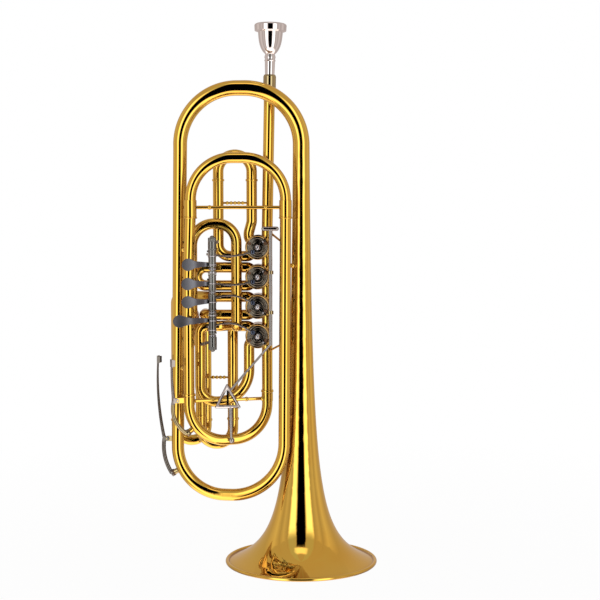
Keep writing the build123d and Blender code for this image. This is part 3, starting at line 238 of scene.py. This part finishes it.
def turned_rings(name, dark, pale, rough):
    """Dark nickel turned in concentric rings round each valve axis."""
    material, nodes, links, output = new_material(name)
    shader = nodes.new("ShaderNodeBsdfPrincipled")
    shader.inputs["Metallic"].default_value = 1.0
    split = object_axes(nodes, links)
    across = math_node(nodes, links, "SUBTRACT", split["X"], VALVE_X)
    up = math_node(nodes, links, "SUBTRACT", VALVE_TOP_Z + 0.5 * VALVE_PITCH, split["Z"])
    step = math_node(nodes, links, "MODULO", up, VALVE_PITCH)
    level = math_node(nodes, links, "SUBTRACT", step, 0.5 * VALVE_PITCH)
    square = math_node(nodes, links, "MULTIPLY", across, across)
    lifted = math_node(nodes, links, "MULTIPLY", level, level)
    radius = math_node(nodes, links, "SQRT", math_node(nodes, links, "ADD", square, lifted))
    phase = math_node(nodes, links, "MULTIPLY", radius, 2 * math.pi / RING_PITCH)
    wave = math_node(nodes, links, "SINE", phase)
    height = math_node(nodes, links, "MULTIPLY", math_node(nodes, links, "ADD", wave, 1.0), 0.5)
    links.new(bump(nodes, links, height, 1.0, RING_DEPTH), shader.inputs["Normal"])
    stain = object_noise(nodes, links, STAIN_SCALE)
    face = two_colours(nodes, links, stain, dark, pale, *STAIN_SPAN)
    outside = math_node(nodes, links, "GREATER_THAN", radius, DISC_RADIUS)
    links.new(mix_colour(nodes, links, outside, face, RIM_COLOUR), shader.inputs["Base Color"])
    shader.inputs["Roughness"].default_value = rough
    links.new(shader.outputs["BSDF"], output.inputs["Surface"])
    return material


CORK_CELLS = 1400.0
CORK_RELIEF = 0.3 * MM
CORK_COLOURS = ((0.32, 0.17, 0.08), (0.12, 0.06, 0.03))


def cork():
    """Pressed cork: brown grains with darker specks."""
    material, nodes, links, output = new_material("cork_grain")
    shader = nodes.new("ShaderNodeBsdfPrincipled")
    shader.inputs["Roughness"].default_value = 0.85
    cells = nodes.new("ShaderNodeTexVoronoi")
    cells.inputs["Scale"].default_value = CORK_CELLS
    place = nodes.new("ShaderNodeTexCoord")
    links.new(place.outputs["Object"], cells.inputs["Vector"])
    speckle = two_colours(nodes, links, cells.outputs["Distance"], *CORK_COLOURS, 0.1, 0.6)
    links.new(speckle, shader.inputs["Base Color"])
    links.new(bump(nodes, links, cells.outputs["Distance"], 0.4, CORK_RELIEF), shader.inputs["Normal"])
    links.new(shader.outputs["BSDF"], output.inputs["Surface"])
    return material


BRASS = ((0.93, 0.62, 0.115), (0.95, 0.57, 0.09))
BRASS_MIRRORED = (0.58, 0.42, 0.28)
SMOOTH = (900.0, (1, 1, 0.15), 0.002)
FINE = (1500.0, (1, 1, 1), 0.03)
NICKEL_PAIR = ((0.34, 0.34, 0.31), (0.17, 0.17, 0.155))
RUBBED_BRASS = ((0.52, 0.42, 0.20), (0.44, 0.35, 0.18))
NICKEL_SILVER = ((0.50, 0.46, 0.42), (0.36, 0.34, 0.32))
ROTOR_BRONZE = ((0.5, 0.4, 0.28), (0.4, 0.33, 0.25))
BRIGHT_STEEL = ((0.6, 0.6, 0.62), (0.5, 0.5, 0.52))
BLUED_STEEL = ((0.10, 0.12, 0.17), (0.06, 0.07, 0.10))
SILVER = ((0.90, 0.86, 0.82), (0.8, 0.76, 0.73))
RUBBED_SILVER = ((0.42, 0.37, 0.33), (0.30, 0.26, 0.23))
FINGER_PLATE = ((0.18, 0.18, 0.197), (0.135, 0.135, 0.15))
LINK_NICKEL = ((0.40, 0.37, 0.34), (0.26, 0.24, 0.22))
DARK_KEY = ((0.20, 0.18, 0.155), (0.12, 0.105, 0.09))
HUB_EDGE = -107.6 * MM
PIVOT_2_Z = 190.0 * MM
finishes = {
    "gold_lacquer_brass": metal("gold_lacquer", BRASS, (0.012, 0.03), SMOOTH, BRASS_MIRRORED),
    "nickel_silver": metal("nickel_silver_polish", NICKEL_SILVER, (0.08, 0.18), FINE),
    "rotor_alloy": metal("rotor_bronze", ROTOR_BRONZE, (0.2, 0.32), FINE),
    "steel": metal("bright_steel", BRIGHT_STEEL, (0.12, 0.22), FINE),
    "cork": cork(),
    "silver_plate": metal("silver_plate_polish", SILVER, (0.015, 0.035), SMOOTH),
    "finger_plate": metal(
        "brushed_finger_plate",
        FINGER_PLATE,
        (0.3, 0.36),
        FINE,
        edge=0.8 * MM,
        beyond=("X", "GREATER_THAN", HUB_EDGE, NICKEL_PAIR, 0.04),
    ),
    "dark_nickel": metal("aged_nickel", NICKEL_PAIR, (0.08, 0.18), FINE, edge=0.5 * MM),
    "link_nickel": metal("link_nickel", LINK_NICKEL, (0.08, 0.18), FINE),
    "blued_steel": metal("blued_steel", BLUED_STEEL, (0.12, 0.2), FINE),
    "turned_nickel": turned_rings("turned_nickel", (0.15, 0.13, 0.10), (0.26, 0.22, 0.17), 0.12),
    "rubbed_silver": metal(
        "rubbed_silver",
        RUBBED_SILVER,
        (0.08, 0.16),
        FINE,
        edge=0.4 * MM,
        beyond=("Z", "LESS_THAN", PIVOT_2_Z, RUBBED_BRASS, 0.05),
    ),
    "dark_key": metal("dark_key", DARK_KEY, (0.08, 0.16), FINE, edge=0.4 * MM),
    "tan_brass": metal("rubbed_brass", RUBBED_BRASS, (0.05, 0.1), FINE, BRASS_MIRRORED),
}
OWN_FINISH = {
    "lever_rail": "dark_nickel",
    "rail_posts": "dark_nickel",
    "valve_casings": "turned_nickel",
    "cork_plates": "turned_nickel",
    "casing_caps": "tan_brass",
    "mouthpiece_receiver": "tan_brass",
    "water_key_1": "dark_key",
    "water_key_2": "rubbed_silver",
    "water_key_mount_1": "tan_brass",
    "trigger_guides": "tan_brass",
}
for number in VALVES:
    OWN_FINISH[f"lever_{number}"] = "finger_plate"
    OWN_FINISH[f"link_{number}"] = "link_nickel"
    OWN_FINISH[f"stop_arm_{number}"] = "dark_nickel"
for node, obj in frame["nodes"].items():
    obj.data.materials.clear()
    obj.data.materials.append(finishes[OWN_FINISH.get(node, NODE_SLOT[node])])


# ---- pieces shaped by mesh code ----
FORWARD = (0, -1, 0)
UPWARD = (0, 0, 1)


def add_piece(name, build, finish, body):
    """Turns a built mesh into a piece with a finish, on a body."""
    mesh = bpy.data.meshes.new(name)
    bmesh.ops.recalc_face_normals(build, faces=build.faces)
    build.to_mesh(mesh)
    build.free()
    obj = bpy.data.objects.new(name, mesh)
    bpy.context.scene.collection.objects.link(obj)
    obj.data.materials.append(finishes[finish])
    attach(obj, body)
    return obj


def spin(name, outline, place, axis, body, finish, steps=40, shape=None):
    """A turned piece: an outline of (radius, height) spun round an axis; shape may move single points."""
    axis = Vector(axis).normalized()
    turn = axis.to_track_quat("Z", "Y")
    build = bmesh.new()
    rows = []
    for radius, height in outline:
        row = []
        for step in range(steps):
            angle = 2 * math.pi * step / steps
            point = Vector((radius * math.cos(angle), radius * math.sin(angle), height))
            if shape:
                point = shape(point, angle)
            row.append(build.verts.new(Vector(place) + turn @ point * MM))
        rows.append(row)
    for lower, upper in zip(rows, rows[1:]):
        for step in range(steps):
            following = (step + 1) % steps
            build.faces.new((lower[step], lower[following], upper[following], upper[step]))
    build.faces.new(rows[0][::-1])
    build.faces.new(rows[-1])
    for face in build.faces:
        face.smooth = True
    return add_piece(name, build, finish, body)


SCREW_R = 3.3
SCREW_BASE = -4.25
SCREW_RISE = 2.2
SCREW_SHOULDER = 0.6
DOME_STEPS = 13
TIP_R = 0.05
SLOT_HALF = 0.5
SLOT_DEPTH = 1.0
SLOT_FLOOR = 0.2
SLOT_TURN = math.radians(-35)


def domed_slot(point, _angle):
    """Cuts a straight slot across a domed head."""
    across = abs(point.x * math.cos(SLOT_TURN) + point.y * math.sin(SLOT_TURN))
    if across < SLOT_HALF and point.z > SLOT_FLOOR:
        point.z = max(point.z - SLOT_DEPTH, SLOT_FLOOR)
    return point


def rotor_screws():
    """Domed slotted screws in place of the plain ones."""
    outline = [(SCREW_R, 0.0), (SCREW_R, SCREW_SHOULDER)]
    for step in range(1, DOME_STEPS):
        share = step / DOME_STEPS
        rise = (SCREW_RISE - SCREW_SHOULDER) * (1 - (1 - share) ** 2)
        outline.append((SCREW_R * (1 - share), SCREW_SHOULDER + rise))
    outline.append((TIP_R, SCREW_RISE))
    for number in VALVES:
        place = (VALVE_X, SCREW_BASE * MM, valve_z(number))
        body = f"rotor_{number}"
        piece = spin(f"domed_screw_{number}", outline, place, FORWARD, body, "steel", 72, domed_slot)
        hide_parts(f"rotor_screw_{number}")


CRANK = 7.5
PIN_REST = {1: 225, 2: 225, 3: 135, 4: 135}
LINK_FRONT = -8.95
CAP_NUT = [(2.9, 0.0), (2.9, 0.35), (2.55, 0.85), (1.9, 1.3), (1.1, 1.55), (0.05, 1.62)]
SMALL_SCREW = [(1.25, 0.0), (1.2, 0.3), (0.95, 0.62), (0.5, 0.8), (0.05, 0.85)]
FINGER_REACH = 9.6
FINGER_FRONT = -4.2


def action_screws():
    """Cap nuts over the link ends and small round screws on the stop arms."""
    for number in VALVES:
        z = valve_z(number)
        rest = math.radians(PIN_REST[number])
        away = rest + math.pi
        pin = (VALVE_X + CRANK * MM * math.cos(rest), LINK_FRONT * MM, z + CRANK * MM * math.sin(rest))
        spin(f"cap_nut_{number}", CAP_NUT, pin, FORWARD, f"link_{number}", "blued_steel", 32)
        tip = (
            VALVE_X + FINGER_REACH * MM * math.cos(away),
            FINGER_FRONT * MM,
            z + FINGER_REACH * MM * math.sin(away),
        )
        spin(f"finger_screw_{number}", SMALL_SCREW, tip, FORWARD, f"rotor_{number}", "steel", 24)


RAIL_X = -102.5
RAIL_Y = -30.0
RAIL_RINGS = (
    (363.1, "lever_1"),
    (353.1, "lever_1"),
    (344.2, "root"),
    (331.6, "lever_2"),
    (310.0, "lever_3"),
    (294.7, "root"),
    (288.7, "lever_4"),
    (277.8, "lever_4"),
)
RING = [(4.5, -0.9), (5.1, -0.55), (5.35, 0.0), (5.1, 0.55), (4.5, 0.9)]
BARREL_R = 4.75
BARREL_END_R = 4.4
BARREL_HALF = 7.2
BARREL_END = 7.6
BARREL_STEPS = 30
BARREL_HEIGHTS = (("upper", 376.6), ("lower", 262.4))
KNURLS = 18
KNURL_TWIST = 2.2
KNURL_DEPTH = 0.28


def knurled(point, angle):
    """Raises small diamonds on a barrel."""
    radius = math.hypot(point.x, point.y)
    twist = KNURL_TWIST * point.z
    lift = KNURL_DEPTH * math.cos(KNURLS * angle + twist) * math.cos(KNURLS * angle - twist)
    return Vector((math.cos(angle) * (radius + lift), math.sin(angle) * (radius + lift), point.z))


def rail_trim():
    """Bright turned rings along the hinge rail and a knurled barrel at each end."""
    for index, (z, body) in enumerate(RAIL_RINGS):
        spin(f"rail_ring_{index}", RING, (RAIL_X * MM, RAIL_Y * MM, z * MM), UPWARD, body, "steel")
    step_height = 2 * BARREL_HALF / BARREL_STEPS
    outline = [(BARREL_END_R, -BARREL_END)]
    outline += [(BARREL_R, -BARREL_HALF + step_height * step) for step in range(BARREL_STEPS + 1)]
    outline.append((BARREL_END_R, BARREL_END))
    for name, z in BARREL_HEIGHTS:
        place = (RAIL_X * MM, RAIL_Y * MM, z * MM)
        spin(f"rail_barrel_{name}", outline, place, UPWARD, "root", "dark_nickel", 144, knurled)


TRIANGLE = ((-86.6, 214.8), (-101.4, 185.3), (-70.0, 185.3))
TRIANGLE_Y = -21.34
MOULDING = ((0.25, 0.0), (1.9, -1.5), (3.3, 0.0))
RELIEF_SOFTENING = 0.35 * MM


def inset(corners, distance):
    """The corners of a triangle moved inwards by a distance from each side."""
    moved = []
    for index, (x, z) in enumerate(corners):
        sides = []
        for other in (index - 1, (index + 1) % 3):
            direction = Vector((corners[other][0] - x, corners[other][1] - z))
            sides.append(direction.normalized())
        half = sides[0].angle(sides[1]) / 2
        inward = (sides[0] + sides[1]).normalized() * (distance / math.sin(half))
        moved.append((x + inward.x, z + inward.y))
    return moved


def triangle_relief():
    """Raised moulding round the trigger's triangle, ridged along the middle of each side."""
    build = bmesh.new()
    rings = []
    for distance, rise in MOULDING:
        points = inset(TRIANGLE, distance)
        rings.append([build.verts.new(Vector((x, TRIANGLE_Y + rise, z)) * MM) for x, z in points])
    for outer, inner in zip(rings, rings[1:] + rings[:1]):
        for index in range(3):
            following = (index + 1) % 3
            build.faces.new((outer[index], outer[following], inner[following], inner[index]))
    obj = add_piece("triangle_relief", build, "silver_plate", "main_slide")
    soften = obj.modifiers.new("soften", "BEVEL")
    soften.width = RELIEF_SOFTENING
    soften.segments = 3


rotor_screws()
action_screws()
rail_trim()
triangle_relief()


# ---- studio ----
CARD_LEVEL = 1.75
ROOM_SHARE = 0.32
ROOM_TINT = (1.0, 0.86, 0.82)
WHITE_FROM = 0.8
LIGHT_TURNS = (
    (0.0, 0.0),
    (15.5, 0.0),
    (17.5, 0.12),
    (20.5, 0.55),
    (26.0, 1.0),
    (42.0, 1.0),
    (51.0, 0.26),
    (68.0, 0.36),
    (80.0, 0.27),
    (98.0, 0.40),
    (125.0, 0.28),
    (180.0, ROOM_SHARE),
)
TOP_LIGHT = 1.5
TOP_TURN = (0.30, 0.55)
TOP_HEIGHTS = (0.84, 0.88, 0.93, 0.965)
SHADOW_FADE = 0.965
SHEET_LEVEL = 1.6
SHEET_HEIGHTS = (-0.76, -0.66)
CARD_HEIGHTS = (0.45, 0.7)
CEILING_LEVEL = 0.5
CEILING_HEIGHTS = (0.8, 0.9)


def studio_world():
    """Two tall softboxes left and right of a dark gap at the camera, in a pale room."""
    world = bpy.data.worlds.new("studio")
    bpy.context.scene.world = world
    world.use_nodes = True
    nodes = world.node_tree.nodes
    links = world.node_tree.links
    nodes.clear()
    output = nodes.new("ShaderNodeOutputWorld")
    place = nodes.new("ShaderNodeTexCoord")
    split = nodes.new("ShaderNodeSeparateXYZ")
    links.new(place.outputs["Generated"], split.inputs["Vector"])

    def band(low, high, start, end):
        node = nodes.new("ShaderNodeMapRange")
        node.interpolation_type = "SMOOTHSTEP"
        node.inputs["From Min"].default_value = low
        node.inputs["From Max"].default_value = high
        node.inputs["To Min"].default_value = start
        node.inputs["To Max"].default_value = end
        links.new(split.outputs["Z"], node.inputs["Value"])
        return node.outputs["Result"]

    def mixed(share, first, level):
        node = nodes.new("ShaderNodeMix")
        links.new(share, node.inputs["Factor"])
        links.new(first, node.inputs[2])
        node.inputs[3].default_value = level
        return node.outputs[0]

    side = math_node(nodes, links, "ABSOLUTE", split.outputs["X"])
    front = math_node(nodes, links, "MULTIPLY", split.outputs["Y"], -1.0)
    azimuth = math_node(nodes, links, "ARCTAN2", side, front)
    curve = nodes.new("ShaderNodeFloatCurve")
    profile = curve.mapping.curves[0]
    profile.points[0].location = LIGHT_TURNS[0]
    profile.points[1].location = (1.0, ROOM_SHARE)
    for degrees, level in LIGHT_TURNS[1:-1]:
        profile.points.new(degrees / 180.0, level)
    for point in profile.points:
        point.handle_type = "VECTOR"
    curve.mapping.update()
    links.new(math_node(nodes, links, "DIVIDE", azimuth, math.pi), curve.inputs["Value"])
    card = math_node(nodes, links, "MULTIPLY", curve.outputs["Value"], CARD_LEVEL)
    topped = math_node(nodes, links, "MINIMUM", card, band(*CARD_HEIGHTS, CARD_LEVEL, CEILING_LEVEL))
    roofed = mixed(band(*CEILING_HEIGHTS, 0.0, 1.0), topped, CEILING_LEVEL)
    narrow = ramp(nodes, links, azimuth, 1.0, 0.0, *TOP_TURN)
    rising = band(*TOP_HEIGHTS[:2], 0.0, 1.0)
    falling = band(*TOP_HEIGHTS[2:], 1.0, 0.0)
    strip = math_node(nodes, links, "MULTIPLY", narrow, math_node(nodes, links, "MULTIPLY", rising, falling))
    crowned = mixed(strip, roofed, TOP_LIGHT)
    lit = mixed(band(*SHEET_HEIGHTS, 1.0, 0.0), crowned, SHEET_LEVEL)
    light = nodes.new("ShaderNodeBackground")
    brightness = ramp(nodes, links, curve.outputs["Value"], 0.0, 1.0, ROOM_SHARE, WHITE_FROM)
    links.new(mix_colour(nodes, links, brightness, ROOM_TINT, (1, 1, 1)), light.inputs["Color"])
    links.new(lit, light.inputs["Strength"])
    white = nodes.new("ShaderNodeBackground")
    white.inputs["Color"].default_value = (1, 1, 1, 1)
    path = nodes.new("ShaderNodeLightPath")
    choose = nodes.new("ShaderNodeMixShader")
    links.new(path.outputs["Is Camera Ray"], choose.inputs["Fac"])
    links.new(light.outputs["Background"], choose.inputs[1])
    links.new(white.outputs["Background"], choose.inputs[2])
    links.new(choose.outputs["Shader"], output.inputs["Surface"])


FLOOR_RADIUS = 6.0
FLOOR_COLOURS = ((0.93, 0.93, 0.93), (0.9, 0.9, 0.9))
FLOOR_GRAIN = 30.0
FADE_DISTANCES = (0.2, 0.9)


def floor_material():
    """Pale matt floor for the eye and the shadow; polished metal looks through it to the lit sheet."""
    material, nodes, links, output = new_material("pale_floor")
    matt = nodes.new("ShaderNodeBsdfDiffuse")
    grain = object_noise(nodes, links, FLOOR_GRAIN)
    links.new(two_colours(nodes, links, grain, *FLOOR_COLOURS), matt.inputs["Color"])
    glow = nodes.new("ShaderNodeEmission")
    glow.inputs["Strength"].default_value = 1.0
    place = nodes.new("ShaderNodeTexCoord")
    length = nodes.new("ShaderNodeVectorMath")
    length.operation = "LENGTH"
    links.new(place.outputs["Object"], length.inputs[0])
    seen = nodes.new("ShaderNodeMixShader")
    fade = ramp(nodes, links, length.outputs["Value"], SHADOW_FADE, 1.0, *FADE_DISTANCES)
    links.new(fade, seen.inputs["Fac"])
    links.new(matt.outputs["BSDF"], seen.inputs[1])
    links.new(glow.outputs["Emission"], seen.inputs[2])
    open_room = nodes.new("ShaderNodeBsdfTransparent")
    path = nodes.new("ShaderNodeLightPath")
    choose = nodes.new("ShaderNodeMixShader")
    links.new(path.outputs["Is Glossy Ray"], choose.inputs["Fac"])
    links.new(seen.outputs["Shader"], choose.inputs[1])
    links.new(open_room.outputs["BSDF"], choose.inputs[2])
    links.new(choose.outputs["Shader"], output.inputs["Surface"])
    return material


def floor():
    """Round floor at the height of the bell's rim."""
    place = (0, 0, cad_low.z)
    bpy.ops.mesh.primitive_circle_add(vertices=128, radius=FLOOR_RADIUS, fill_type="NGON", location=place)
    disc = bpy.context.object
    disc.name = "floor"
    disc.data.materials.append(floor_material())


CAMERA_LENS = 78.5
SENSOR_WIDTH = 36.0
CLIP_END = 50.0
CAMERA_ELEVATION = 3.6
CAMERA_PLACE = (-0.0014, -1.5365, 0.4072)


def camera():
    """Long lens straight in front, looking slightly down."""
    data = bpy.data.cameras.new("camera")
    data.lens = CAMERA_LENS
    data.sensor_width = SENSOR_WIDTH
    data.clip_end = CLIP_END
    obj = bpy.data.objects.new("camera", data)
    bpy.context.scene.collection.objects.link(obj)
    obj.location = CAMERA_PLACE
    obj.rotation_euler = (math.radians(90.0 - CAMERA_ELEVATION), 0, 0)
    bpy.context.scene.camera = obj


studio_world()
floor()
camera()
bpy.context.scene.view_settings.view_transform = "Standard"
